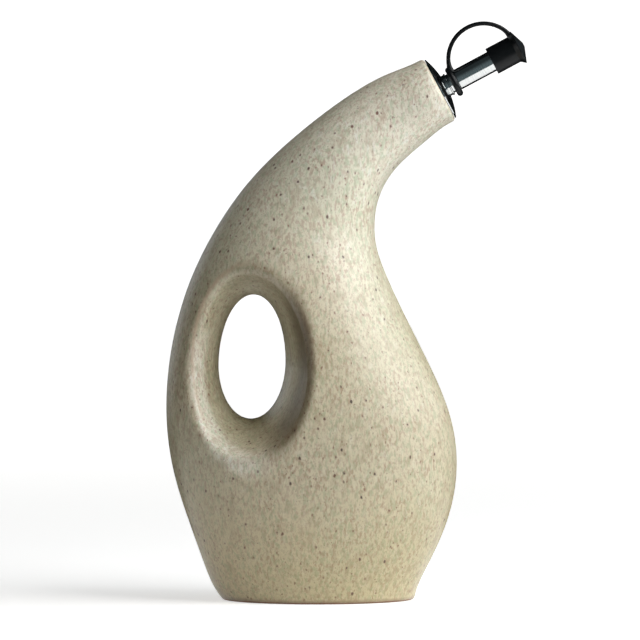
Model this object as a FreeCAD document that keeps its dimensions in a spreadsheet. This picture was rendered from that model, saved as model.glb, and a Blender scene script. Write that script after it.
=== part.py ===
# Stoneware oil bottle with a finger hole through its body and a leaning neck.
# A steel pourer with a finned rubber stopper sits in the mouth, and a rubber cap on a strap closes it.
# Frame: +Z up, +X towards the spout, origin on the table under the middle of the foot, millimetres.
import FreeCAD, Part
import math
import os
import re

import Sketcher
from FreeCAD import Placement, Rotation, Vector

SIZES = {
    # Bottle, level oval sections: shift across and rise from the section below, width and depth.
    "foot_width": 90.0,
    "foot_depth": 63.0,
    "heel_shift": -1.0,
    "heel_rise": 18.0,
    "heel_width": 106.6,
    "heel_depth": 74.0,
    "hip_shift": 0.7,
    "hip_rise": 20.0,
    "hip_width": 122.2,
    "hip_depth": 82.0,
    "belly_shift": -1.3,
    "belly_rise": 22.0,
    "belly_width": 133.0,
    "belly_depth": 86.0,
    "waist_shift": -3.0,
    "waist_rise": 25.0,
    "waist_width": 133.8,
    "waist_depth": 86.0,
    "grip_shift": -4.4,
    "grip_rise": 25.0,
    "grip_width": 122.8,
    "grip_depth": 82.0,
    "chest_shift": -3.7,
    "chest_rise": 25.0,
    "chest_width": 105.4,
    "chest_depth": 75.0,
    # Bottle, oval sections that lean towards the spout, tilts in degrees.
    "shoulder_shift": 0.1,
    "shoulder_rise": 24.7,
    "shoulder_tilt": 3.0,
    "shoulder_width": 85.2,
    "shoulder_depth": 66.0,
    "bend_shift": 8.4,
    "bend_rise": 24.3,
    "bend_tilt": 18.4,
    "bend_width": 64.4,
    "bend_depth": 55.0,
    # Neck, round sections.
    "throat_shift": 13.2,
    "throat_rise": 20.2,
    "throat_tilt": 35.0,
    "throat_diameter": 48.4,
    "nape_shift": 15.5,
    "nape_rise": 15.6,
    "nape_tilt": 49.0,
    "nape_diameter": 40.5,
    "collar_shift": 16.4,
    "collar_rise": 11.5,
    "collar_tilt": 58.0,
    "collar_diameter": 36.4,
    "mouth_shift": 15.9,
    "mouth_rise": 8.7,
    "mouth_tilt": 61.85,
    "mouth_wall": 6.4,
    "lip_rounding": 1.8,
    # Stoneware inside and underneath.
    "wall": 5.0,
    "floor_thickness": 6.5,
    "floor_inset": 9.5,
    "foot_rim": 6.0,
    "foot_recess": 1.5,
    "foot_rounding": 2.2,
    "bore_diameter": 20.0,
    "bore_length": 20.0,
    "bore_chamfer": 0.8,
    # Finger hole at the middle plane, behind the grip section, then how far it opens beside that plane.
    "hole_back": 22.3,
    "hole_up": 1.4,
    "hole_width": 31.4,
    "hole_rise": 32.2,
    "hole_drop": 26.2,
    "hole_lean": 1.7,
    "hole_rounding": 4.0,
    "near_distance": 11.0,
    "near_grip": 2.8,
    "near_belly": 1.2,
    "near_up": 1.8,
    "near_down": 1.8,
    "inner_distance": 22.0,
    "inner_grip": 12.5,
    "inner_belly": 4.5,
    "inner_up": 7.0,
    "inner_down": 7.0,
    "outer_distance": 34.0,
    "outer_grip": 27.0,
    "outer_belly": 9.0,
    "outer_up": 15.5,
    "outer_down": 15.0,
    "far_clearance": 3.0,
    "far_grip": 46.0,
    "far_belly": 14.5,
    "far_up": 30.0,
    "far_down": 27.0,
    # Rubber stopper in the bore. Its fins fill the bore, less a small play.
    "fin_play": 0.05,
    "fin_depth": 2.2,
    "fin_bite": 0.3,
    "fin_count": 4,
    "fin_first": 2.8,
    "fin_last": 4.2,
    "fin_edge": 0.9,
    "fin_root": 2.0,
    "fin_sweep": 0.7,
    "stopper_setback": 0.5,
    "stopper_nose": 1.6,
    "stopper_inset": 2.2,
    "rubber_play": 0.05,
    # Steel dome that covers the mouth.
    "dome_overlap": 5.4,
    "dome_rise": 2.95,
    "dome_sheet": 0.5,
    "dome_lift": 0.2,
    # Steel spout tube. Its neck, bead, groove and barb stand out from or lie below the tube's diameter.
    "tube_diameter": 10.0,
    "tube_wall": 0.5,
    "tube_reach": 38.6,
    "tip_slant": 20.0,
    "tip_flat": 2.5,
    "neck_step": 0.2,
    "neck_length": 1.1,
    "bead_step": 0.55,
    "bead_width": 0.9,
    "bead_bevel": 0.25,
    "groove_depth": 0.3,
    "groove_slack": 0.9,
    "step_run": 0.3,
    "barb_step": 0.5,
    "barb_gap": 0.3,
    "barb_length": 1.2,
    # Steel air tube inside the spout.
    "vent_diameter": 3.0,
    "vent_wall": 0.5,
    "vent_play": 0.05,
    "vent_depth": 38.0,
    "vent_setback": 4.2,
    "vent_slant": 40.0,
    "vent_flat": 0.75,
    # Rubber ring that grips the groove, and the strap that arches from it to the cap.
    "ring_play": 0.05,
    "ring_wall": 2.7,
    "ring_width": 2.9,
    "strap_thickness": 2.0,
    "strap_width": 3.0,
    "strap_bevel": 0.5,
    "strap_centre_up": 2.85,
    "strap_sink": 0.8,
    "strap_short": 0.3,
    "strap_lift": 0.25,
    # Rubber cap pushed over the spout's tip.
    "cap_play": 0.05,
    "cap_wall": 1.55,
    "cap_overlap": 10.8,
    "cap_tip_room": 0.5,
    "cap_crown": 0.6,
    "cap_flare": 1.7,
    "cap_flare_length": 2.2,
    "cap_cone": 2.8,
    "cap_nose": 1.0,
    "cap_lead_in": 0.5,
    "cap_rim_edge": 0.3,
}

OVALS = ("heel", "hip", "belly", "waist", "grip", "chest")
LEANING_OVALS = ("shoulder", "bend")
ROUNDS = ("throat", "nape", "collar")
STATIONS = (*OVALS, *LEANING_OVALS, *ROUNDS, "mouth")
FLARES = ("near", "inner", "outer", "far")


def station(name, way):
    """How far across or up a named section stands: its own step and all those below it."""
    steps = STATIONS[:STATIONS.index(name) + 1]
    return "(" + " + ".join(f"{step}_{way}" for step in steps) + ")"


# Derived sizes, written as formulas over the ones above.
MOUTH_X = station("mouth", "shift")
MOUTH_Z = station("mouth", "rise")
HOLE_X = f"({station('grip', 'shift')} - hole_back)"
HOLE_Z = f"({station('grip', 'rise')} + hole_up)"
FAR_DISTANCE = "(max(waist_depth, grip_depth, chest_depth) / 2 + far_clearance)"
MOUTH_R = "(bore_diameter / 2 + mouth_wall)"
DOME_R = "(bore_diameter / 2 + dome_overlap)"
DOME_CURVE = f"(({DOME_R} ^ 2 + dome_rise ^ 2) / (2 * dome_rise))"
TUBE_R = "(tube_diameter / 2)"
TAIL_R = "(tube_diameter / 2 - groove_depth)"
TAIL_BORE_R = f"({TAIL_R} - tube_wall)"
TUBE_BORE_R = f"({TUBE_R} - tube_wall)"
DOME_HOLE_R = f"({TAIL_R} + rubber_play)"
DOME_CENTRE = f"(dome_lift + dome_sheet + dome_rise - {DOME_CURVE})"
NECK_Z = f"({DOME_CENTRE} + sqrt({DOME_CURVE} ^ 2 - {DOME_HOLE_R} ^ 2))"
BEAD_Z = f"({NECK_Z} + neck_length)"
GROOVE_Z = f"({BEAD_Z} + bead_width)"
RING_Z = f"({GROOVE_Z} + groove_slack)"
RING_END_Z = f"({RING_Z} + ring_width)"
GROOVE_END_Z = f"({RING_END_Z} + ring_play)"
STOPPER_Z = "(bore_length - stopper_setback)"
BARB_Z = f"({STOPPER_Z} + barb_gap)"
TAIL_Z = f"({BARB_Z} + barb_length)"
SHANK_R = "(bore_diameter / 2 - fin_depth)"
FIN_R = "(bore_diameter / 2 - fin_play)"
FIN_PITCH = f"(({STOPPER_Z} - fin_first - fin_last) / (fin_count - 1))"
CAP_Z = "(tube_reach - cap_overlap)"
CAP_BORE_Z = "(tube_reach + cap_tip_room)"
CAP_FLARE_Z = f"({CAP_BORE_Z} + cap_crown)"
CAP_RIM_Z = f"({CAP_FLARE_Z} + cap_flare_length)"
CAP_BORE_R = f"({TUBE_R} + cap_play)"
CAP_R = f"({CAP_BORE_R} + cap_wall)"
CAP_RIM_R = f"({CAP_R} + cap_flare)"
STRAP_FOOT_Z = f"({RING_END_Z} - strap_sink)"
STRAP_R = f"(({CAP_RIM_Z} - strap_short - {STRAP_FOOT_Z}) / 2)"
STRAP_CENTRE_Z = f"({STRAP_FOOT_Z} + {STRAP_R})"
STRAP_SEAT = f"asin(({CAP_RIM_R} + strap_lift - strap_centre_up) / {STRAP_R})"
STRAP_START = f"180 deg - asin(({TAIL_R} + ring_play + ring_wall / 4 - strap_centre_up) / {STRAP_R})"

# A level plane tilts about Y and an upright one about its own normal, both towards the spout.
TILT_AXIS = Vector(0, 1, 0)
LEAN_AXIS = Vector(0, 0, -1)
TOLERANCE = 0.01

doc = FreeCAD.newDocument("oil_bottle")
sheet = doc.addObject("Spreadsheet::Sheet", "Sizes")
for row, (alias, size) in enumerate(SIZES.items(), start=1):
    sheet.set(f"A{row}", alias)
    sheet.set(f"B{row}", str(size))
    sheet.setAlias(f"B{row}", alias)
doc.recompute()


def bound(formula):
    """The formula as an expression, with each size read from the sheet."""
    return re.sub(r"[a-z_]+", lambda word: f"Sizes.{word[0]}" if word[0] in SIZES else word[0], formula)


def value(formula):
    """The formula's present value."""
    return float(sheet.evalExpression(bound(formula)))


def new_body(label, on_axis=False):
    """A body in the bottle's frame, or in the mouth's: its Z out along the spout, its -X up."""
    body = doc.addObject("PartDesign::Body", label)
    body.Label = label
    if on_axis:
        body.Placement = Placement(Vector(), Rotation(TILT_AXIS, 1))
        body.setExpression("Placement.Base.x", bound(MOUTH_X))
        body.setExpression("Placement.Base.z", bound(MOUTH_Z))
        body.setExpression("Placement.Rotation.Angle", bound("mouth_tilt"))
    return body


def origin_feature(body, role):
    return next(feature for feature in body.Origin.OriginFeatures if feature.Role == role)


def new_sketch(body, name, role, base=("0", "0", "0"), turn_axis=TILT_AXIS, turn=None):
    """A sketch on one of the body's planes, moved and turned within that plane's frame."""
    sketch = body.newObject("Sketcher::SketchObject", name)
    sketch.AttachmentSupport = [(origin_feature(body, role), "")]
    sketch.MapMode = "FlatFace"
    if turn:
        sketch.AttachmentOffset = Placement(Vector(), Rotation(turn_axis, 1))
        sketch.setExpression("AttachmentOffset.Rotation.Angle", bound(turn))
    for coordinate, formula in zip("xyz", base):
        if formula != "0":
            sketch.setExpression(f"AttachmentOffset.Base.{coordinate}", bound(formula))
    return sketch


def dimension(sketch, kind, *where, formula):
    index = sketch.addConstraint(Sketcher.Constraint(kind, *where, value(formula)))
    sketch.setExpression(f"Constraints[{index}]", bound(formula))


def locate(sketch, geometry, end, corner):
    """Dimension one end of a line or arc from the sketch's origin."""
    dimension(sketch, "DistanceX", -1, 1, geometry, end, formula=corner[0])
    dimension(sketch, "DistanceY", -1, 1, geometry, end, formula=corner[1])


def draw_outline(sketch, corners):
    """A closed outline of straight lines through the corners."""
    points = [Vector(value(x), value(y), 0) for x, y in corners]
    for start, end in zip(points, points[1:] + points[:1]):
        sketch.addGeometry(Part.LineSegment(start, end), False)
    for i, corner in enumerate(corners):
        sketch.addConstraint(Sketcher.Constraint("Coincident", i - 1 if i else len(corners) - 1, 2, i, 1))
        locate(sketch, i, 1, corner)


def draw_circle(sketch, radius, centre=("0", "0")):
    middle = Vector(value(centre[0]), value(centre[1]), 0)
    circle = sketch.addGeometry(Part.Circle(middle, Vector(0, 0, 1), value(radius)), False)
    locate(sketch, circle, 3, centre)
    dimension(sketch, "Radius", circle, formula=radius)


def draw_ellipse(sketch, width, depth):
    """An ellipse about the sketch's origin, wider than deep."""
    ellipse = Part.Ellipse(Vector(value(width) / 2, 0, 0), Vector(0, value(depth) / 2, 0), Vector())
    index = sketch.addGeometry(ellipse, False)
    sketch.exposeInternalGeometry(index)
    long_axis, short_axis = index + 1, index + 2
    sketch.addConstraint(Sketcher.Constraint("Coincident", index, 3, -1, 1))
    sketch.addConstraint(Sketcher.Constraint("Horizontal", long_axis))
    dimension(sketch, "Distance", long_axis, 1, long_axis, 2, formula=width)
    dimension(sketch, "Distance", short_axis, 1, short_axis, 2, formula=depth)


def draw_half_ellipse(sketch, half_width, height, first_angle):
    """Half of an upright ellipse about the sketch's origin, from and to its short axis."""
    ellipse = Part.Ellipse(Vector(0, value(height), 0), Vector(-value(half_width), 0, 0), Vector())
    arc = Part.ArcOfEllipse(ellipse, first_angle, first_angle + math.pi)
    index = sketch.addGeometry(arc, False)
    sketch.exposeInternalGeometry(index)
    long_axis, short_axis = index + 1, index + 2
    sketch.addConstraint(Sketcher.Constraint("Coincident", index, 3, -1, 1))
    sketch.addConstraint(Sketcher.Constraint("Vertical", long_axis))
    dimension(sketch, "Distance", long_axis, 1, long_axis, 2, formula=f"2 * ({height})")
    dimension(sketch, "Distance", short_axis, 1, short_axis, 2, formula=f"2 * ({half_width})")
    for end in (1, 2):
        sketch.addConstraint(Sketcher.Constraint("PointOnObject", index, end, -1))


def add_loft(body, kind, name, sketches):
    loft = body.newObject(f"PartDesign::{kind}", name)
    loft.Profile = sketches[0]
    loft.Sections = [(sketch, [""]) for sketch in sketches[1:]]
    return loft


def add_revolution(body, name, sketch, turn="360 deg"):
    revolution = body.newObject("PartDesign::Revolution", name)
    revolution.Profile = sketch
    revolution.ReferenceAxis = (sketch, ["V_Axis"])
    revolution.setExpression("Angle", bound(turn))
    return revolution


def add_pad(body, name, sketch, length, both_ways=False):
    pad = body.newObject("PartDesign::Pad", name)
    pad.Profile = sketch
    pad.SideType = "Symmetric" if both_ways else "One side"
    pad.setExpression("Length", bound(length))
    return pad


def add_pocket(body, name, sketch, length, both_ways=False, upward=False):
    """A pocket that is checked to take something away."""
    doc.recompute()
    before = body.Shape.Volume
    pocket = body.newObject("PartDesign::Pocket", name)
    pocket.Profile = sketch
    pocket.SideType = "Symmetric" if both_ways else "One side"
    pocket.Reversed = upward
    pocket.setExpression("Length", bound(length))
    doc.recompute()
    if body.Shape.Volume >= before:
        raise ValueError(f"{name} cuts nothing")
    return pocket


def round_edges(body, name, radius, chosen):
    """Fillet the edges of the body's present shape that the test picks."""
    doc.recompute()
    base = body.Tip
    edges = [f"Edge{i}" for i, edge in enumerate(base.Shape.Edges, start=1) if chosen(edge)]
    if not edges:
        raise ValueError(f"{name} finds no edge")
    fillet = body.newObject("PartDesign::Fillet", name)
    fillet.Base = (base, edges)
    fillet.setExpression("Radius", bound(radius))
    return fillet


def bottle_sections(body, prefix, shrink):
    """Sketches from the heel to the nape, each smaller all round by the shrink formula."""
    sketches = []
    for name in OVALS:
        base = (station(name, "shift"), "0", station(name, "rise"))
        sketch = new_sketch(body, f"{prefix}_{name}", "XY_Plane", base)
        draw_ellipse(sketch, f"{name}_width - 2 * {shrink}", f"{name}_depth - 2 * {shrink}")
        sketches.append(sketch)
    for name in LEANING_OVALS:
        base = (station(name, "shift"), "0", station(name, "rise"))
        sketch = new_sketch(body, f"{prefix}_{name}", "XY_Plane", base, TILT_AXIS, f"{name}_tilt")
        draw_ellipse(sketch, f"{name}_width - 2 * {shrink}", f"{name}_depth - 2 * {shrink}")
        sketches.append(sketch)
    for name in ROUNDS[:-1]:
        sketches.append(round_section(body, f"{prefix}_{name}", name, f"{name}_diameter / 2 - {shrink}"))
    return sketches


def round_section(body, label, name, radius, along="0"):
    """A circle square to the neck at a named section, moved along the neck from it."""
    base = (
        f"{station(name, 'shift')} + ({along}) * sin({name}_tilt)",
        "0",
        f"{station(name, 'rise')} + ({along}) * cos({name}_tilt)",
    )
    sketch = new_sketch(body, label, "XY_Plane", base, TILT_AXIS, f"{name}_tilt")
    draw_circle(sketch, radius)
    return sketch


def hole_sections(body, prefix, grow):
    """The finger hole's sections from the far side to the near side, grown all round."""
    sketches = []
    for side, flare in [(1, name) for name in reversed(FLARES)] + [(0, None)] + [(-1, name) for name in FLARES]:
        grip, belly, up, down = (f"{flare}_{way}" if flare else "0" for way in ("grip", "belly", "up", "down"))
        opening = FAR_DISTANCE if flare == "far" else f"{flare}_distance"
        # The wall there is measured square to the flaring surface, so its section moves inwards too.
        distance = f"({opening} - {grow} / 2)" if flare else "0"
        base = (f"{HOLE_X} + ({belly} - {grip}) / 2", HOLE_Z, f"{-side} * {distance}")
        sketch = new_sketch(body, f"{prefix}_{flare or 'middle'}_{side + 1}", "XZ_Plane", base, LEAN_AXIS, "hole_lean")
        half_width = f"(hole_width + {grip} + {belly}) / 2 + {grow}"
        draw_half_ellipse(sketch, half_width, f"hole_rise + {up} + {grow}", -math.pi / 2)
        draw_half_ellipse(sketch, half_width, f"hole_drop + {down} + {grow}", math.pi / 2)
        sketches.append(sketch)
    return sketches


def make_outside():
    """The bottle's outer form, solid, with the finger hole, foot and lip."""
    body = new_body("bottle_outside")
    foot = new_sketch(body, "outside_foot", "XY_Plane")
    draw_ellipse(foot, "foot_width", "foot_depth")
    collar = round_section(body, "outside_collar", "collar", "collar_diameter / 2")
    mouth = round_section(body, "outside_mouth", "mouth", MOUTH_R)
    add_loft(body, "AdditiveLoft", "form", [foot, *bottle_sections(body, "outside", "0"), collar, mouth])
    add_loft(body, "SubtractiveLoft", "finger_hole", hole_sections(body, "hole", "0"))
    round_edges(body, "hole_crest", "hole_rounding", is_crest)
    round_edges(body, "foot_edge", "foot_rounding", lambda edge: is_level(edge, 0))
    round_edges(body, "lip", "lip_rounding", is_at_mouth)
    recess = new_sketch(body, "recess_outline", "XY_Plane")
    draw_ellipse(recess, "foot_width - 2 * foot_rim", "foot_depth - 2 * foot_rim")
    add_pocket(body, "recess", recess, "foot_recess", upward=True)
    return body


def is_crest(edge):
    """Whether the edge is where the finger hole breaks through the bottle's front or back."""
    box = edge.BoundBox
    off_middle = box.YMin * box.YMax > 0
    return off_middle and box.ZMin > value(station("hip", "rise")) and box.ZMax < value(station("bend", "rise"))


def is_level(edge, height):
    return abs(edge.BoundBox.ZMin - height) < TOLERANCE and abs(edge.BoundBox.ZMax - height) < TOLERANCE


def is_at_mouth(edge):
    """Whether the whole edge lies in the plane of the mouth."""
    mouth = Vector(value(MOUTH_X), 0, value(MOUTH_Z))
    outward = Vector(value("sin(mouth_tilt)"), 0, value("cos(mouth_tilt)"))
    return all(abs((point - mouth).dot(outward)) < TOLERANCE for point in edge.discretize(5))


def make_inside():
    """The space inside the bottle: the outer form less the wall, ending in the straight bore."""
    body = new_body("bottle_inside")
    floor = new_sketch(body, "inside_floor", "XY_Plane", ("0", "0", "floor_thickness"))
    draw_ellipse(floor, "foot_width - 2 * floor_inset", "foot_depth - 2 * floor_inset")
    bore_end = round_section(body, "inside_bore_end", "mouth", "bore_diameter / 2", "-bore_length")
    add_loft(body, "AdditiveLoft", "space", [floor, *bottle_sections(body, "inside", "wall"), bore_end])
    add_loft(body, "SubtractiveLoft", "hole_wall", hole_sections(body, "wall", "wall"))
    base = (MOUTH_X, MOUTH_Z, "0")
    profile = new_sketch(body, "bore_profile", "XZ_Plane", base, LEAN_AXIS, "mouth_tilt")
    draw_outline(profile, [
        ("0", "-bore_length"),
        ("bore_diameter / 2", "-bore_length"),
        ("bore_diameter / 2", "-bore_chamfer"),
        ("bore_diameter / 2 + 2 * bore_chamfer", "bore_chamfer"),
        ("0", "bore_chamfer"),
    ])
    add_revolution(body, "bore", profile)
    return body


def make_bottle():
    bottle = doc.addObject("Part::Cut", "bottle_body")
    bottle.Label = "bottle_body"
    bottle.Base = make_outside()
    bottle.Tool = make_inside()
    return bottle


def draw_dome_curves(sketch, offset, rim, hole):
    """An arc of the dome from its rim to its hole, at an offset below the outer face."""
    radius = f"{DOME_CURVE} - {offset}"
    size, centre = value(radius), value(DOME_CENTRE)
    angles = [math.acos(value(r) / size) for r in (rim, hole)]
    arc = Part.ArcOfCircle(Part.Circle(Vector(0, centre, 0), Vector(0, 0, 1), size), *angles)
    index = sketch.addGeometry(arc, False)
    locate(sketch, index, 3, ("0", DOME_CENTRE))
    dimension(sketch, "Radius", index, formula=radius)
    dimension(sketch, "DistanceX", -1, 1, index, 1, formula=rim)
    dimension(sketch, "DistanceX", -1, 1, index, 2, formula=hole)
    return index


def point_of(sketch, geometry, end):
    return sketch.getPoint(geometry, end)


def join(sketch, first, first_end, second, second_end):
    """A line from an end of one piece of geometry to an end of another."""
    line = sketch.addGeometry(
        Part.LineSegment(point_of(sketch, first, first_end), point_of(sketch, second, second_end)), False
    )
    sketch.addConstraint(Sketcher.Constraint("Coincident", line, 1, first, first_end))
    sketch.addConstraint(Sketcher.Constraint("Coincident", line, 2, second, second_end))
    return line


def make_dome():
    """A shallow steel dome, open in the middle for the spout."""
    body = new_body("dome_plate", on_axis=True)
    sketch = new_sketch(body, "dome_profile", "XZ_Plane")
    outside = draw_dome_curves(sketch, "0", DOME_R, DOME_HOLE_R)
    inside = draw_dome_curves(sketch, "dome_sheet", DOME_R, DOME_HOLE_R)
    join(sketch, outside, 1, inside, 1)
    join(sketch, inside, 2, outside, 2)
    add_revolution(body, "dome", sketch)
    return body


def make_stopper():
    """The rubber stopper: a head under the dome, a shank and its fins."""
    body = new_body("stopper", on_axis=True)
    bore = f"({TAIL_R} + rubber_play)"
    head = f"({DOME_R} - stopper_inset)"
    top = new_sketch(body, "head_profile", "XZ_Plane")
    curve = draw_dome_curves(top, "(dome_sheet + rubber_play)", head, bore)
    start, end = Vector(value(bore), 0, 0), Vector(value(head), 0, 0)
    underside = top.addGeometry(Part.LineSegment(start, end), False)
    locate(top, underside, 1, (bore, "0"))
    locate(top, underside, 2, (head, "0"))
    join(top, underside, 2, curve, 1)
    join(top, curve, 2, underside, 1)
    add_revolution(body, "head", top)
    shank = new_sketch(body, "shank_profile", "XZ_Plane")
    draw_outline(shank, [
        (bore, "0"),
        (SHANK_R, "0"),
        (SHANK_R, f"stopper_nose - {STOPPER_Z}"),
        (f"{SHANK_R} - stopper_nose / 2", f"-{STOPPER_Z}"),
        (bore, f"-{STOPPER_Z}"),
    ])
    add_revolution(body, "shank", shank)
    fin = new_sketch(body, "fin_profile", "XZ_Plane")
    draw_outline(fin, [
        (f"{SHANK_R} - fin_bite", "fin_root / 2 - fin_first"),
        (FIN_R, "fin_edge / 2 + fin_sweep - fin_first"),
        (FIN_R, "fin_sweep - fin_edge / 2 - fin_first"),
        (f"{SHANK_R} - fin_bite", "-fin_root / 2 - fin_first"),
    ])
    first_fin = add_revolution(body, "fin", fin)
    fins = body.newObject("PartDesign::LinearPattern", "fins")
    fins.Originals = [first_fin]
    fins.Direction = (origin_feature(body, "Z_Axis"), [""])
    fins.Reversed = True
    fins.setExpression("Length", bound(f"{FIN_PITCH} * (fin_count - 1)"))
    fins.setExpression("Occurrences", bound("fin_count"))
    body.Tip = fins
    return body


def make_spout():
    """The steel tube: barb, tail in the stopper, neck, bead, groove for the ring and spout."""
    body = new_body("spout_tube", on_axis=True)
    bead_r = f"{TUBE_R} + bead_step"
    profile = new_sketch(body, "tube_profile", "XZ_Plane")
    draw_outline(profile, [
        (TAIL_R, f"-{BARB_Z}"),
        (TAIL_R, NECK_Z),
        (f"{TUBE_R} + neck_step", NECK_Z),
        (f"{TUBE_R} + neck_step", BEAD_Z),
        (f"{bead_r} - bead_bevel", BEAD_Z),
        (bead_r, f"{BEAD_Z} + bead_bevel"),
        (bead_r, f"{GROOVE_Z} - bead_bevel"),
        (f"{bead_r} - bead_bevel", GROOVE_Z),
        (TAIL_R, GROOVE_Z),
        (TAIL_R, GROOVE_END_Z),
        (TUBE_R, f"{GROOVE_END_Z} + step_run"),
        (TUBE_R, "tube_reach"),
        (TUBE_BORE_R, "tube_reach"),
        (TUBE_BORE_R, f"{GROOVE_END_Z} + step_run"),
        (TAIL_BORE_R, GROOVE_END_Z),
        (TAIL_BORE_R, f"-{TAIL_Z}"),
        (TAIL_R, f"-{TAIL_Z}"),
        (f"{TAIL_R} + barb_step", f"-{BARB_Z}"),
    ])
    add_revolution(body, "tube", profile)
    tip = new_sketch(body, "tip_cut", "XZ_Plane")
    slope = "tan(tip_slant)"
    draw_outline(tip, [
        ("-tube_diameter", f"tube_reach - (tube_diameter + tip_flat) * {slope}"),
        ("tube_diameter", f"tube_reach + (tube_diameter - tip_flat) * {slope}"),
        ("tube_diameter", "tube_reach + tube_diameter"),
        ("-tube_diameter", "tube_reach + tube_diameter"),
    ])
    add_pocket(body, "tip", tip, "2 * tube_diameter", both_ways=True)
    return body


def make_vent():
    """The thin air tube brazed along the upper side of the spout's bore."""
    body = new_body("vent_tube", on_axis=True)
    centre = (f"vent_diameter / 2 + vent_play - {TAIL_BORE_R}", "0")
    ring = new_sketch(body, "vent_section", "XY_Plane", ("0", "0", "-vent_depth"))
    draw_circle(ring, "vent_diameter / 2", centre)
    draw_circle(ring, "vent_diameter / 2 - vent_wall", centre)
    add_pad(body, "vent", ring, "vent_depth + tube_reach - vent_setback")
    end = new_sketch(body, "vent_cut", "XZ_Plane", (centre[0], "-vent_depth", "0"))
    slope = "tan(vent_slant)"
    draw_outline(end, [
        ("-vent_diameter", f"(vent_flat - vent_diameter) * {slope}"),
        ("vent_diameter", f"(vent_flat + vent_diameter) * {slope}"),
        ("vent_diameter", "-vent_diameter"),
        ("-vent_diameter", "-vent_diameter"),
    ])
    add_pocket(body, "vent_end", end, "2 * vent_diameter", both_ways=True)
    return body


def add_strap(body, name, first, last):
    """A stretch of the strap's arch, a bevelled band, between two angles from the spout's direction."""
    base = ("-strap_centre_up", "0", STRAP_CENTRE_Z)
    section = new_sketch(body, f"{name}_section", "XY_Plane", base, TILT_AXIS, f"270 deg - ({last})")
    inner, outer = f"{STRAP_R} - strap_thickness / 2", f"{STRAP_R} + strap_thickness / 2"
    draw_outline(section, [
        (f"{inner} + strap_bevel", "-strap_width / 2"),
        (f"{outer} - strap_bevel", "-strap_width / 2"),
        (outer, "strap_bevel - strap_width / 2"),
        (outer, "strap_width / 2 - strap_bevel"),
        (f"{outer} - strap_bevel", "strap_width / 2"),
        (f"{inner} + strap_bevel", "strap_width / 2"),
        (inner, "strap_width / 2 - strap_bevel"),
        (inner, "strap_bevel - strap_width / 2"),
    ])
    return add_revolution(body, name, section, f"({last}) - ({first})")


def make_tether():
    """The rubber ring in the groove and the strap arching over the spout."""
    body = new_body("cap_tether", on_axis=True)
    add_strap(body, "strap", STRAP_SEAT, STRAP_START)
    ring = new_sketch(body, "ring_profile", "XZ_Plane")
    draw_ring(ring, f"({TAIL_R} + ring_play)")
    add_revolution(body, "ring", ring)
    return body


def draw_ring(sketch, bore):
    """The ring's section: flat round the groove and at its ends, half round outside."""
    middle = (f"{bore} + ring_wall - ring_width / 2", f"{RING_Z} + ring_width / 2")
    centre = Vector(value(middle[0]), value(middle[1]), 0)
    circle = Part.Circle(centre, Vector(0, 0, 1), value("ring_width / 2"))
    outside = sketch.addGeometry(Part.ArcOfCircle(circle, -math.pi / 2, math.pi / 2), False)
    locate(sketch, outside, 3, middle)
    low, high = Vector(value(bore), value(RING_Z), 0), Vector(value(bore), value(RING_END_Z), 0)
    inside = sketch.addGeometry(Part.LineSegment(low, high), False)
    locate(sketch, inside, 1, (bore, RING_Z))
    locate(sketch, inside, 2, (bore, RING_END_Z))
    dimension(sketch, "Radius", outside, formula="ring_width / 2")
    for end in (1, 2):
        dimension(sketch, "DistanceX", -1, 1, outside, end, formula=middle[0])
        join(sketch, inside, end, outside, end)


def make_cap():
    """The rubber cap: a barrel over the tip, a sharp rim, a low cone and the strap's root."""
    body = new_body("spout_cap", on_axis=True)
    profile = new_sketch(body, "cap_profile", "XZ_Plane")
    draw_outline(profile, [
        (f"{CAP_BORE_R} + cap_lead_in", CAP_Z),
        (CAP_R, CAP_Z),
        (CAP_R, CAP_FLARE_Z),
        (CAP_RIM_R, f"{CAP_RIM_Z} - cap_rim_edge / 2"),
        (CAP_RIM_R, f"{CAP_RIM_Z} + cap_rim_edge / 2"),
        ("cap_nose", f"{CAP_RIM_Z} + cap_cone"),
        ("0", f"{CAP_RIM_Z} + cap_cone"),
        ("0", CAP_BORE_Z),
        (CAP_BORE_R, CAP_BORE_Z),
        (CAP_BORE_R, f"{CAP_Z} + cap_lead_in"),
    ])
    add_revolution(body, "cap", profile)
    add_strap(body, "strap_root", "0 deg", STRAP_SEAT)
    return body


def main():
    makers = (make_bottle, make_stopper, make_dome, make_spout, make_vent, make_tether, make_cap)
    pieces = [make() for make in makers]
    doc.recompute()
    for thing in doc.Objects:
        if {"Invalid", "Error"} & set(thing.State):
            raise ValueError(f"{thing.Label} did not compute")
    for piece in pieces:
        if piece.Shape.isNull() or not piece.Shape.isValid() or len(piece.Shape.Solids) != 1:
            raise ValueError(f"{piece.Label} is not one sound solid")
    os.makedirs("parts", exist_ok=True)
    for piece in pieces:
        piece.Shape.exportStep(f"parts/{piece.Label}.step")


main()
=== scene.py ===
import math

import bmesh
import bpy
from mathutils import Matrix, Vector


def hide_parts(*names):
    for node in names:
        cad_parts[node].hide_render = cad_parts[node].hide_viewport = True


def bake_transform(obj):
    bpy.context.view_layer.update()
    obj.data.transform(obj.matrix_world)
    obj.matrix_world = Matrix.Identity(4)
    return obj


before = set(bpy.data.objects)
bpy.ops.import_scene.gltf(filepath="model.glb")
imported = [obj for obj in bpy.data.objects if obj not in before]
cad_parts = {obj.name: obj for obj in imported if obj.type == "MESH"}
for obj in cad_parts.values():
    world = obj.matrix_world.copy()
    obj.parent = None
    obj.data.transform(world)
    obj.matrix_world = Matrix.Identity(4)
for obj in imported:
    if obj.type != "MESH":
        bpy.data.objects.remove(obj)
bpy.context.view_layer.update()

MM = 0.001

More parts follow.
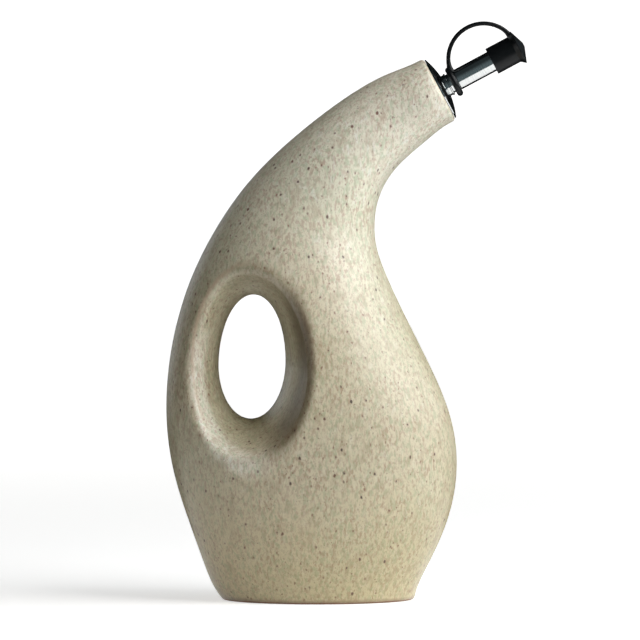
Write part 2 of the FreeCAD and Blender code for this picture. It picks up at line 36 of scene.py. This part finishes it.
# The pourer's axis: it starts in the plane of the mouth and leans towards +X.
MOUTH = Vector((56.8, 0.0, 240.0)) * MM
MOUTH_TILT = math.radians(61.85)
OUTWARD = Vector((math.sin(MOUTH_TILT), 0.0, math.cos(MOUTH_TILT)))
UPWARD = Vector((-math.cos(MOUTH_TILT), 0.0, math.sin(MOUTH_TILT)))

# The tether's ring, in millimetres along the spout from the mouth and out from the spout's axis.
RING_START = 6.28
RING_END = 9.18
RING_BORE = 4.75
RING_OUTSIDE = 7.45
RING_BEVEL = 0.25
RING_EDGE_STEPS = 14
RING_SEGMENTS = 72

# The tether's strap, in millimetres, an arch round a centre that lies up from the spout's axis.
STRAP_CENTRE_UP = 2.85
STRAP_CENTRE_ALONG = 24.99
STRAP_RADIUS = 16.61
STRAP_THICKNESS = 2.0
STRAP_WIDTH = 3.1
STRAP_SQUARENESS = 0.7
STRAP_CORNERS = 20
STRAP_STEPS = 81

# Angles along the arch, in degrees from the spout's direction: its ends, and where it widens to its roots.
STRAP_CAP_END = 12
STRAP_RING_END = 174
CAP_ROOT_START = 32
CAP_ROOT_SPAN = 20
RING_ROOT_START = 150
RING_ROOT_SPAN = 24
ROOT_FULL = 0.9
ROOT_SLIGHT = 0.5

# The crest of the finger hole's rim: an upright oval seen from the front.
CREST_CENTRE = Vector((-31.3, 0.0, 113.9)) * MM
CREST_HALF_WIDTH = 27.8 * MM
CREST_HALF_HEIGHT = 45.7 * MM

# The photograph's scale and where the bottle's origin and the table lie in it, in pixels.
PIXEL = 0.47 * MM
PICTURE_WIDTH = 640
ORIGIN_ACROSS = 318.6
TABLE_DOWN = 600
CAMERA_DISTANCE = 4.0
CAMERA_HEIGHT = 0.33

# The colour sockets of a Mix node, which it has after those for numbers and vectors.
MIX_SHARE = 0
MIX_FIRST = 6
MIX_SECOND = 7


def srgb(red, green, blue):
    """A colour given as 0 to 255 on screen, in linear light."""
    shown = [channel / 255 for channel in (red, green, blue)]
    return tuple(c / 12.92 if c < 0.04045 else ((c + 0.055) / 1.055) ** 2.4 for c in shown) + (1.0,)


# Glaze: its base, its grains and clouds, and its iron specks.
WARM_BASE = srgb(217, 206, 175)
COOL_BASE = srgb(212, 204, 171)
PINK_GRAIN = srgb(174, 142, 112)
GREEN_GRAIN = srgb(175, 179, 139)
TAN_CLOUD = srgb(176, 156, 122)
PALE_GRAIN = srgb(225, 218, 194)
TAN_GRAIN = srgb(156, 136, 100)
FINE_SPECK = srgb(140, 114, 90)
RUSTY_SPECK = srgb(132, 86, 64)
SPECK_HALO = srgb(158, 118, 92)
IRON_DARK = srgb(58, 42, 34)
IRON_RED = srgb(104, 66, 46)

# Where the glaze is thin, and the clay under it.
CREST_GLAZE = srgb(214, 184, 156)
FOOT_GLAZE = srgb(158, 130, 98)
LIP_GLAZE = srgb(196, 176, 144)
DARK_CLAY = srgb(128, 92, 64)
PALE_CLAY = srgb(156, 118, 86)

# Metal and rubber.
DARK_STEEL = srgb(196, 198, 198)
PALE_STEEL = srgb(214, 216, 215)
CAP_BLACK = srgb(8, 10, 12)
CAP_DUST = srgb(18, 20, 22)
STOPPER_BLACK = srgb(20, 20, 21)
STOPPER_DUST = srgb(32, 32, 33)

# Tints that multiply the glaze's colour, in linear light. Most of them paint light or shade: warm shade at
# the foot, a whiter highlight at the neck, and round the finger hole a highlight, brown with shade, and
# shade.
PLAIN = (1.0, 1.0, 1.0, 1.0)
FOOT_WARM_SHADE_TINT = (1.0, 0.95, 0.83, 1.0)
BODY_TINT = (1.0, 1.01, 1.05, 1.0)
NECK_HIGHLIGHT_TINT = (1.26, 1.34, 1.56, 1.0)
RIM_HIGHLIGHT_TINT = (1.38, 1.46, 1.72, 1.0)
BROWN_AND_SHADE_TINT = (0.28, 0.22, 0.17, 1.0)
SHADE_TINT = (0.66, 0.62, 0.56, 1.0)

# The studio's light: the world's strength on the object, and the colours of its lights and cloth.
WORLD_LIGHT = 0.12
WORLD_TINT = (1.0, 0.93, 0.80, 1.0)
CLOTH_TINT = (0.72, 0.94, 1.0, 1.0)
TABLE_GREY = (0.80, 0.80, 0.80, 1.0)
LAMP_TARGET = (0.0, 0.0, 0.13)

# Lamps: place, width and height in metres, power in watts, colour.
KEY_LAMP = ((0.70, -0.40, 0.80), (0.8, 1.05), 11.9, (1.0, 1.0, 1.0))
SIDE_LAMP = ((0.94, 0.16, 0.57), (0.8, 0.65), 3.0, (0.82, 0.93, 1.0))
RIM_LAMP = ((-0.85, 1.1, 0.34), (0.9, 0.6), 1.1, (0.92, 0.97, 1.0))


def add(tree, kind, values=None, **settings):
    """A new shader node. Each value is a constant or another node's output."""
    made = tree.nodes.new(f"ShaderNode{kind}")
    for name, setting in settings.items():
        setattr(made, name, setting)
    for name, given in (values or {}).items():
        if isinstance(given, bpy.types.NodeSocket):
            tree.links.new(given, made.inputs[name])
        else:
            made.inputs[name].default_value = given
    return made


def new_material(name):
    """A material with one Principled shader joined to its output."""
    material = bpy.data.materials.new(name)
    material.use_nodes = True
    tree = material.node_tree
    tree.nodes.clear()
    output = add(tree, "OutputMaterial")
    shader = add(tree, "BsdfPrincipled")
    tree.links.new(shader.outputs["BSDF"], output.inputs["Surface"])
    return material, tree, shader


def maths(tree, operation, first, second=0.0, third=0.0, clamp=False):
    made = add(tree, "Math", {0: first, 1: second, 2: third}, operation=operation, use_clamp=clamp)
    return made.outputs[0]


def ramp(tree, value, low, high, to_low=0.0, to_high=1.0):
    """The value's place between low and high, smoothed, as a share from to_low to to_high."""
    made = add(
        tree, "MapRange",
        {"Value": value, "From Min": low, "From Max": high, "To Min": to_low, "To Max": to_high},
        interpolation_type="SMOOTHSTEP",
    )
    return made.outputs["Result"]


def blend_colour(tree, share, first, second, kind="MIX"):
    """The first colour with a share of the second mixed in, or multiplied by it."""
    values = {MIX_SHARE: share, MIX_FIRST: first, MIX_SECOND: second}
    return add(tree, "Mix", values, data_type="RGBA", blend_type=kind).outputs[2]


def noise(tree, place, size, detail=2.0, roughness=0.5):
    """Noise from 0 to 1 whose lumps are about this many millimetres across."""
    values = {"Vector": place, "Scale": 1 / (size * MM), "Detail": detail, "Roughness": roughness}
    return add(tree, "TexNoise", values).outputs[0]


def bump(tree, height, millimetres, normal=None):
    values = {"Height": height, "Distance": millimetres * MM, "Strength": 1.0}
    if normal:
        values["Normal"] = normal
    return add(tree, "Bump", values).outputs["Normal"]


def object_place(tree, stretch=(1.0, 1.0, 1.0)):
    """Object coordinates in metres, stretched along each axis."""
    place = add(tree, "TexCoord").outputs["Object"]
    if stretch == (1.0, 1.0, 1.0):
        return place
    shares = tuple(1 / share for share in stretch)
    return add(tree, "Mapping", {"Vector": place, "Scale": shares}).outputs["Vector"]


def specks(tree, place, spacing, radius, share):
    """Specks in the share of the cells that have one, their spacing and radius in millimetres.

    Gives how dark each point is, the cell's tone, the distance from its centre and whether it has a speck.
    """
    cell = add(tree, "TexVoronoi", {"Vector": place, "Scale": 1 / (spacing * MM), "Randomness": 1.0})
    colour = add(tree, "SeparateColor", {"Color": cell.outputs["Color"]})
    size = ramp(tree, colour.outputs[0], 0.0, 1.0, radius * 0.5 / spacing, radius / spacing)
    closeness = maths(tree, "SUBTRACT", maths(tree, "MULTIPLY", size, 1.3), cell.outputs["Distance"])
    dark = maths(tree, "DIVIDE", closeness, maths(tree, "MULTIPLY", size, 0.6), clamp=True)
    picked = maths(tree, "LESS_THAN", colour.outputs[1], share)
    return maths(tree, "MULTIPLY", dark, picked), colour.outputs[2], cell.outputs["Distance"], picked


def shake(tree, place, size, reach):
    """The place moved by up to reach millimetres by noise of a size, so that specks aren't perfect ovals."""
    wobble = add(tree, "TexNoise", {"Vector": place, "Scale": 1 / (size * MM), "Detail": 1.0})
    middle = (0.5, 0.5, 0.5)
    centred = add(tree, "VectorMath", {0: wobble.outputs["Color"], 1: middle}, operation="SUBTRACT")
    moved = add(tree, "VectorMath", {0: centred.outputs[0], "Scale": 2 * reach * MM}, operation="SCALE")
    return add(tree, "VectorMath", {0: place, 1: moved.outputs[0]}, operation="ADD").outputs[0]


def glaze_grains(tree, place):
    """The glaze without its specks: upright grains and clouds over a warm base."""
    tall = object_place(tree, (0.85, 0.85, 1.9))
    drift = ramp(tree, noise(tree, place, 55, detail=1.0), 0.35, 0.65)
    colour = blend_colour(tree, drift, WARM_BASE, COOL_BASE)
    density = ramp(tree, noise(tree, place, 16), 0.3, 0.7, 0.55, 1.0)

    pink = ramp(tree, noise(tree, tall, 1.5, roughness=0.6), 0.46, 0.66, 0.0, 0.75)
    colour = blend_colour(tree, maths(tree, "MULTIPLY", pink, density), colour, PINK_GRAIN)
    shaken = shake(tree, tall, size=3.0, reach=2.0)
    green = ramp(tree, noise(tree, shaken, 1.9), 0.48, 0.66, 0.0, 0.6)
    colour = blend_colour(tree, green, colour, GREEN_GRAIN)
    cloud = ramp(tree, noise(tree, tall, 5.5), 0.52, 0.72, 0.0, 0.42)
    colour = blend_colour(tree, cloud, colour, TAN_CLOUD)
    shaken = shake(tree, tall, size=4.0, reach=3.0)
    pale = ramp(tree, noise(tree, shaken, 2.6), 0.56, 0.72, 0.0, 0.5)
    colour = blend_colour(tree, pale, colour, PALE_GRAIN)
    tan = ramp(tree, noise(tree, tall, 0.55, detail=1.0), 0.5, 0.75, 0.0, 0.4)
    return blend_colour(tree, tan, colour, TAN_GRAIN)


def add_specks(tree, colour):
    """The glaze's colour with three sizes of iron specks, and how dark the boldest are at each point."""
    oval = object_place(tree, (1.0, 1.0, 1.4))
    shaken = shake(tree, oval, size=1.1, reach=0.35)
    fine = specks(tree, shaken, spacing=1.7, radius=0.26, share=0.7)[0]
    colour = blend_colour(tree, maths(tree, "MULTIPLY", fine, 0.6), colour, FINE_SPECK)
    shaken_more = shake(tree, oval, size=1.6, reach=0.5)
    rusty = specks(tree, shaken_more, spacing=2.7, radius=0.45, share=0.6)[0]
    colour = blend_colour(tree, maths(tree, "MULTIPLY", rusty, 0.7), colour, RUSTY_SPECK)
    bold, tone, distance, picked = specks(tree, shaken, spacing=4.0, radius=0.58, share=0.55)
    halo = maths(tree, "MULTIPLY", ramp(tree, distance, 0.08, 0.26, 0.45, 0.0), picked)
    colour = blend_colour(tree, halo, colour, SPECK_HALO)
    iron = blend_colour(tree, tone, IRON_DARK, IRON_RED)
    return blend_colour(tree, maths(tree, "MULTIPLY", bold, 0.92), colour, iron), bold


def height_painted_light(tree, place, colour):
    """Painted light by height: a warmer tint paints warm light in the shade towards the foot, and a paler,
    whiter tint paints a highlight towards the neck.
    """
    height = add(tree, "SeparateXYZ", {"Vector": place}).outputs["Z"]
    uneven = maths(tree, "MULTIPLY_ADD", noise(tree, place, 30.0), 0.03, height)
    # Painted light: the foot's tint warms the shade low down, and the neck's tint paints a paler, whiter
    # highlight.
    low = blend_colour(tree, ramp(tree, uneven, 0.02, 0.09), FOOT_WARM_SHADE_TINT, BODY_TINT)
    high = blend_colour(tree, ramp(tree, uneven, 0.13, 0.24), PLAIN, NECK_HIGHLIGHT_TINT)
    colour = blend_colour(tree, 1.0, colour, low, "MULTIPLY")
    return blend_colour(tree, 1.0, colour, high, "MULTIPLY")


def rim_colour(tree, place, colour):
    """The glaze round the finger hole's rim.

    It has a painted highlight of pale, whiter glaze at the lower left, brown glaze with painted shade at the
    right, painted shade inside the top, and thin glaze on the left of the crest. Distances are shares of the
    crest's oval, which lies at 1.
    """
    centred = add(tree, "VectorMath", {0: place, 1: tuple(CREST_CENTRE)}, operation="SUBTRACT").outputs[0]
    flat = (1 / CREST_HALF_WIDTH, 0.0, 1 / CREST_HALF_HEIGHT)
    scaled = add(tree, "VectorMath", {0: centred, 1: flat}, operation="MULTIPLY").outputs[0]
    reach = add(tree, "VectorMath", {0: scaled}, operation="LENGTH").outputs["Value"]
    heading = add(tree, "VectorMath", {0: scaled}, operation="NORMALIZE").outputs[0]
    rise = add(tree, "SeparateXYZ", {"Vector": heading}).outputs["Z"]
    lowered = maths(tree, "MULTIPLY_ADD", rise, 0.14, reach)
    wave = maths(tree, "MULTIPLY", noise(tree, place, 5.0), 0.02)

    def band(distance, middle, near, far, strength):
        """Full strength up to near from the middle, and nothing beyond far."""
        away = maths(tree, "ABSOLUTE", maths(tree, "SUBTRACT", distance, middle))
        return ramp(tree, maths(tree, "ADD", away, wave), near, far, strength, 0.0)

    def side(x, z):
        """1 on the side of the hole that lies this way from its middle."""
        dot = add(tree, "VectorMath", {0: heading, 1: (x, 0.0, z)}, operation="DOT_PRODUCT")
        return ramp(tree, dot.outputs["Value"], 0.25, 0.85)

    # A painted highlight: the glaze is made pale and whiter inside the crest at the lower left.
    rim_highlight_share = maths(tree, "MULTIPLY", band(lowered, 0.91, 0.08, 0.20, 0.95), side(-0.72, -0.69))
    colour = blend_colour(tree, rim_highlight_share, colour, RIM_HIGHLIGHT_TINT, "MULTIPLY")
    # Partly brown glaze and partly painted shade: the tint darkens the right wall inside the crest.
    brown = maths(tree, "MULTIPLY", band(reach, 0.93, 0.06, 0.25, 0.8), side(0.98, -0.2))
    colour = blend_colour(tree, brown, colour, BROWN_AND_SHADE_TINT, "MULTIPLY")
    shaded = maths(tree, "MULTIPLY", band(reach, 0.90, 0.07, 0.18, 0.8), side(0.50, 0.87))
    colour = blend_colour(tree, shaded, colour, SHADE_TINT, "MULTIPLY")
    crest = maths(tree, "MULTIPLY", band(reach, 1.0, 0.012, 0.06, 0.5), side(-0.92, 0.39))
    return blend_colour(tree, crest, colour, CREST_GLAZE)


def foot_colour(tree, place, colour):
    """Bare clay below the wavy line where the glaze stops, and thin glaze just above it.

    Gives the colour and where the clay is bare.
    """
    bare_to, glazed_from, full_from = 0.0010, 0.0015, 0.0032
    height = add(tree, "SeparateXYZ", {"Vector": place}).outputs["Z"]
    edge = maths(tree, "MULTIPLY_ADD", noise(tree, place, 5.0), 0.0008, height)
    bare = ramp(tree, edge, bare_to, glazed_from, 1.0, 0.0)
    thin = ramp(tree, edge, glazed_from, full_from, 0.55, 0.0)
    colour = blend_colour(tree, thin, colour, FOOT_GLAZE)
    clay_grain = noise(tree, place, 0.6, detail=3.0, roughness=0.7)
    clay = blend_colour(tree, ramp(tree, clay_grain, 0.3, 0.7), DARK_CLAY, PALE_CLAY)
    return blend_colour(tree, bare, colour, clay), bare


def lip_colour(tree, place, colour):
    """The glaze runs a little thin over the rounded lip."""
    from_mouth = add(tree, "VectorMath", {0: place, 1: tuple(MOUTH)}, operation="SUBTRACT").outputs[0]
    along = add(tree, "VectorMath", {0: from_mouth, 1: tuple(OUTWARD)}, operation="DOT_PRODUCT")
    lip = ramp(tree, along.outputs["Value"], -0.0012, -0.0002, 0.0, 0.4)
    return blend_colour(tree, lip, colour, LIP_GLAZE)


def make_glaze():
    """Satin speckled glaze over brown clay, which shows bare at the foot and thins over edges."""
    material, tree, shader = new_material("speckled_glaze")
    place = object_place(tree)
    colour, bold = add_specks(tree, glaze_grains(tree, place))
    colour = height_painted_light(tree, place, colour)
    colour = rim_colour(tree, place, colour)
    colour, bare = foot_colour(tree, place, colour)
    colour = lip_colour(tree, place, colour)
    tree.links.new(colour, shader.inputs["Base Color"])

    gloss = ramp(tree, noise(tree, place, 9.0, detail=3.0), 0.3, 0.7, 0.35, 0.45)
    gloss = maths(tree, "MULTIPLY_ADD", bare, 0.4, gloss, clamp=True)
    tree.links.new(gloss, shader.inputs["Roughness"])
    ripple = noise(tree, place, 4.0)
    texture = noise(tree, object_place(tree, (1.0, 1.0, 1.5)), 0.8, roughness=0.6)
    normal = bump(tree, ripple, 0.08)
    normal = bump(tree, texture, 0.025, normal)
    normal = bump(tree, maths(tree, "SUBTRACT", 0.0, bold), 0.05, normal)
    tree.links.new(normal, shader.inputs["Normal"])
    shader.inputs["IOR"].default_value = 1.6
    shader.inputs["Coat Weight"].default_value = 0.4
    shader.inputs["Coat Roughness"].default_value = 0.38
    return material


def make_steel():
    """Polished stainless steel with faint turning lines round the spout."""
    material, tree, shader = new_material("polished_steel")
    upright = {"Vector": object_place(tree), "Rotation": (0.0, -MOUTH_TILT, 0.0)}
    axis = add(tree, "Mapping", upright).outputs[0]
    lines = add(tree, "Mapping", {"Vector": axis, "Scale": (60.0, 60.0, 9000.0)}).outputs[0]
    streaks = add(tree, "TexNoise", {"Vector": lines, "Scale": 1.0, "Detail": 3.0}).outputs[0]
    smudge = noise(tree, object_place(tree), 6.0)
    tree.links.new(ramp(tree, smudge, 0.3, 0.7, 0.07, 0.15), shader.inputs["Roughness"])
    tone = blend_colour(tree, ramp(tree, streaks, 0.3, 0.7), DARK_STEEL, PALE_STEEL)
    tree.links.new(tone, shader.inputs["Base Color"])
    tree.links.new(bump(tree, streaks, 0.004), shader.inputs["Normal"])
    shader.inputs["Metallic"].default_value = 1.0
    return material


def make_rubber(name, black, dusty, smooth, rough):
    """Moulded black rubber: a soft sheen, fine moulding grain and a little dust."""
    material, tree, shader = new_material(name)
    place = object_place(tree)
    dust = ramp(tree, noise(tree, place, 2.2, detail=4.0, roughness=0.7), 0.45, 0.8)
    tree.links.new(blend_colour(tree, dust, black, dusty), shader.inputs["Base Color"])
    tree.links.new(ramp(tree, noise(tree, place, 1.5), 0.3, 0.7, smooth, rough), shader.inputs["Roughness"])
    grain = noise(tree, place, 0.12)
    tree.links.new(bump(tree, grain, 0.01), shader.inputs["Normal"])
    shader.inputs["Specular IOR Level"].default_value = 0.24
    return material


def paint(node, material):
    """Give a carried-over solid its material."""
    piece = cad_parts[node]
    piece.data.materials.clear()
    piece.data.materials.append(material)


def along_spout(up, side, along):
    """A point given in millimetres up from the spout's axis, to its side and along it from the mouth."""
    return MOUTH + (OUTWARD * along + UPWARD * up + Vector((0.0, side, 0.0))) * MM


def skin(edit, rings, closed):
    """Faces between rings of points, with a flat end on each open end."""
    if closed:
        pairs = zip(rings, rings[1:] + rings[:1])
    else:
        pairs = zip(rings, rings[1:])
        edit.faces.new(rings[0])
        edit.faces.new(rings[-1])
    for first, second in pairs:
        for i in range(len(first)):
            edit.faces.new((first[i - 1], first[i], second[i], second[i - 1]))


def ring_section():
    """The ring's section, flat inside and round outside, as distances out from the axis and along it."""
    half = (RING_END - RING_START) / 2
    middle = (RING_START + RING_END) / 2
    outline = [(RING_BORE + RING_BEVEL, RING_START), (RING_BORE, RING_START + RING_BEVEL)]
    outline += [(RING_BORE, RING_END - RING_BEVEL), (RING_BORE + RING_BEVEL, RING_END)]
    for step in range(RING_EDGE_STEPS + 1):
        angle = math.pi / 2 - math.pi * step / RING_EDGE_STEPS
        out = RING_OUTSIDE - half + half * math.cos(angle)
        outline.append((out, middle + half * math.sin(angle)))
    return outline


def strap_section(angle):
    """The strap's half width and how far it reaches inside and outside its arch, wider at both roots."""
    at_ring = max(0.0, (angle - RING_ROOT_START) / RING_ROOT_SPAN) ** 2
    at_cap = max(0.0, (CAP_ROOT_START - angle) / CAP_ROOT_SPAN) ** 2
    half_width = STRAP_WIDTH / 2 + ROOT_FULL * at_ring + ROOT_SLIGHT * at_cap
    inside = STRAP_THICKNESS / 2 + ROOT_FULL * at_ring + ROOT_FULL * at_cap
    outside = STRAP_THICKNESS / 2 + ROOT_SLIGHT * at_ring
    return half_width, inside, outside


def strap_ring(edit, angle):
    """A rounded section of the strap at an angle from the spout's direction, towards up."""
    half_width, inside, outside = strap_section(angle)
    turn = math.radians(angle)
    points = []
    for corner in range(STRAP_CORNERS):
        way = 2 * math.pi * corner / STRAP_CORNERS
        across, out = math.cos(way), math.sin(way)
        side = half_width * math.copysign(abs(across) ** STRAP_SQUARENESS, across)
        depth = (outside if out > 0 else inside) * math.copysign(abs(out) ** STRAP_SQUARENESS, out)
        reach = STRAP_RADIUS + depth
        up = STRAP_CENTRE_UP + reach * math.sin(turn)
        along = STRAP_CENTRE_ALONG + reach * math.cos(turn)
        points.append(edit.verts.new(along_spout(up, side, along)))
    return points


def make_tether(rubber):
    """The ring in the spout's groove and the strap that arches from it to the cap."""
    edit = bmesh.new()
    rings = []
    for segment in range(RING_SEGMENTS):
        way = 2 * math.pi * segment / RING_SEGMENTS
        across, aside = math.cos(way), math.sin(way)
        points = [along_spout(out * across, out * aside, along) for out, along in ring_section()]
        rings.append([edit.verts.new(point) for point in points])
    skin(edit, rings, closed=True)
    span = STRAP_RING_END - STRAP_CAP_END
    angles = [STRAP_CAP_END + span * step / STRAP_STEPS for step in range(STRAP_STEPS + 1)]
    skin(edit, [strap_ring(edit, angle) for angle in angles], closed=False)
    bmesh.ops.recalc_face_normals(edit, faces=edit.faces)
    for face in edit.faces:
        face.smooth = True
    mesh = bpy.data.meshes.new("tether")
    edit.to_mesh(mesh)
    edit.free()
    mesh.materials.append(rubber)
    tether = bpy.data.objects.new("tether", mesh)
    bpy.context.scene.collection.objects.link(tether)
    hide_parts("cap_tether")
    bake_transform(tether)


def flat_piece(name, corners, material):
    """A flat four-sided piece of the studio."""
    mesh = bpy.data.meshes.new(name)
    mesh.from_pydata(corners, [], [tuple(range(len(corners)))])
    mesh.materials.append(material)
    piece = bpy.data.objects.new(name, mesh)
    bpy.context.scene.collection.objects.link(piece)
    return piece


def background_rays(tree):
    """1 for the rays that show the white background: the camera's, and those through glass or off metal."""
    light = add(tree, "LightPath")
    shown = maths(tree, "MAXIMUM", light.outputs["Is Camera Ray"], light.outputs["Is Transmission Ray"])
    return maths(tree, "MAXIMUM", shown, light.outputs["Is Glossy Ray"])


def make_floor():
    """A wide pale floor. It shows as white and still takes the bottle's shadow."""
    near, far, near_glow, far_glow = 0.3, 1.6, 0.60, 0.94
    half = 60.0
    material, tree, shader = new_material("floor")
    shader.inputs["Base Color"].default_value = TABLE_GREY
    shader.inputs["Roughness"].default_value = 0.6
    reach = add(tree, "VectorMath", {0: add(tree, "TexCoord").outputs["Object"]}, operation="LENGTH")
    glow = ramp(tree, reach.outputs["Value"], near, far, near_glow, far_glow)
    tree.links.new(maths(tree, "MULTIPLY", background_rays(tree), glow), shader.inputs["Emission Strength"])
    shader.inputs["Emission Color"].default_value = PLAIN
    corners = [(-half, -half, 0.0), (half, -half, 0.0), (half, half, 0.0), (-half, half, 0.0)]
    flat_piece("floor", corners, material)


def make_cloth():
    """Black cloth that is a little lighter in front of the bottle and towards the floor."""
    front_from, front_to = -0.5, -0.3
    floor_sheen, top_sheen, least_sheen = 0.17, 0.03, 0.008
    material, tree, shader = new_material("black_cloth")
    place = add(tree, "SeparateXYZ", {"Vector": add(tree, "TexCoord").outputs["Object"]})
    in_front = ramp(tree, place.outputs["Y"], front_from, front_to, 1.0, 0.0)
    lower = ramp(tree, place.outputs["Z"], 0.0, 2.4, floor_sheen, top_sheen)
    sheen = maths(tree, "MULTIPLY_ADD", in_front, lower, least_sheen)
    weave = ramp(tree, noise(tree, object_place(tree), 40.0), 0.2, 0.8, 0.8, 1.1)
    tree.links.new(maths(tree, "MULTIPLY", sheen, weave), shader.inputs["Emission Strength"])
    shader.inputs["Base Color"].default_value = (0.0, 0.0, 0.0, 1.0)
    shader.inputs["Emission Color"].default_value = CLOTH_TINT
    shader.inputs["Specular IOR Level"].default_value = 0.0
    return material


def make_dark_room():
    """Black cloth round a white table, as in a photographer's studio: only gloss and metal show it."""
    material = make_cloth()
    wall, top, mat = 2.6, 2.4, 0.001
    left, right, front, back = -0.9, 0.9, -0.47, 0.11
    corners = [(-wall, -wall), (wall, -wall), (wall, wall), (-wall, wall)]
    sheets = [[(x, y, top) for x, y in corners]]
    for (ax, ay), (bx, by) in zip(corners, corners[1:] + corners[:1]):
        sheets.append([(ax, ay, mat), (bx, by, mat), (bx, by, top), (ax, ay, top)])
    # Four mats on the floor leave the table's patch free.
    for x0, x1, y0, y1 in (
        (-wall, wall, -wall, front), (-wall, wall, back, wall),
        (-wall, left, front, back), (right, wall, front, back),
    ):
        sheets.append([(x0, y0, mat), (x1, y0, mat), (x1, y1, mat), (x0, y1, mat)])
    for number, sheet in enumerate(sheets):
        cloth = flat_piece(f"black_cloth_{number}", sheet, material)
        cloth.visible_camera = False
        cloth.visible_diffuse = False
        cloth.visible_transmission = False
        cloth.visible_volume_scatter = False
        cloth.visible_shadow = False


def add_lamp(name, place, size, watts, colour):
    """A soft lamp that is turned towards the bottle's middle."""
    lamp = bpy.data.lights.new(name, "AREA")
    lamp.shape = "RECTANGLE"
    lamp.size, lamp.size_y = size
    lamp.energy = watts
    lamp.color = colour
    holder = bpy.data.objects.new(name, lamp)
    bpy.context.scene.collection.objects.link(holder)
    holder.location = place
    holder.rotation_euler = (Vector(LAMP_TARGET) - Vector(place)).to_track_quat("-Z", "Y").to_euler()
    return holder


def light_studio():
    """White all round to the camera, dim to the object, and soft lamps that give it its shape."""
    world = bpy.data.worlds.new("studio")
    bpy.context.scene.world = world
    world.use_nodes = True
    tree = world.node_tree
    tree.nodes.clear()
    shown = background_rays(tree)
    strength = maths(tree, "MULTIPLY_ADD", shown, 1.0 - WORLD_LIGHT, WORLD_LIGHT)
    tint = blend_colour(tree, shown, WORLD_TINT, PLAIN)
    background = add(tree, "Background", {"Color": tint, "Strength": strength})
    output = add(tree, "OutputWorld")
    tree.links.new(background.outputs[0], output.inputs["Surface"])
    add_lamp("key", *KEY_LAMP)
    add_lamp("side", *SIDE_LAMP)
    # Only half of the rim light shows in the gloss, or it lies as a grey sheen in the finger hole.
    add_lamp("rim", *RIM_LAMP)
    soft_rim = add_lamp("soft_rim", *RIM_LAMP)
    soft_rim.visible_glossy = False


def place_camera():
    """The photograph's view: a little above the bottle's top, through a long lens, slightly downwards."""
    middle = PICTURE_WIDTH / 2
    target = Vector(((middle - ORIGIN_ACROSS) * PIXEL, 0.0, (TABLE_DOWN - middle) * PIXEL))
    camera = bpy.data.cameras.new("camera")
    holder = bpy.data.objects.new("camera", camera)
    bpy.context.scene.collection.objects.link(holder)
    holder.location = (target.x, -CAMERA_DISTANCE, CAMERA_HEIGHT)
    towards = target - holder.location
    holder.rotation_euler = towards.to_track_quat("-Z", "Y").to_euler()
    camera.sensor_width = 36.0
    camera.lens = camera.sensor_width * towards.length / (PICTURE_WIDTH * PIXEL)
    camera.clip_start, camera.clip_end = 0.1, 200.0
    bpy.context.scene.camera = holder


glaze = make_glaze()
steel = make_steel()
cap_rubber = make_rubber("cap_rubber", CAP_BLACK, CAP_DUST, smooth=0.30, rough=0.42)
stopper_rubber = make_rubber("stopper_rubber", STOPPER_BLACK, STOPPER_DUST, smooth=0.5, rough=0.65)
paint("bottle_body", glaze)
paint("stopper", stopper_rubber)
for metal in ("dome_plate", "spout_tube", "vent_tube"):
    paint(metal, steel)
paint("spout_cap", cap_rubber)
make_tether(cap_rubber)

make_floor()
make_dark_room()
light_studio()
place_camera()
bpy.context.scene.view_settings.view_transform = "Standard"
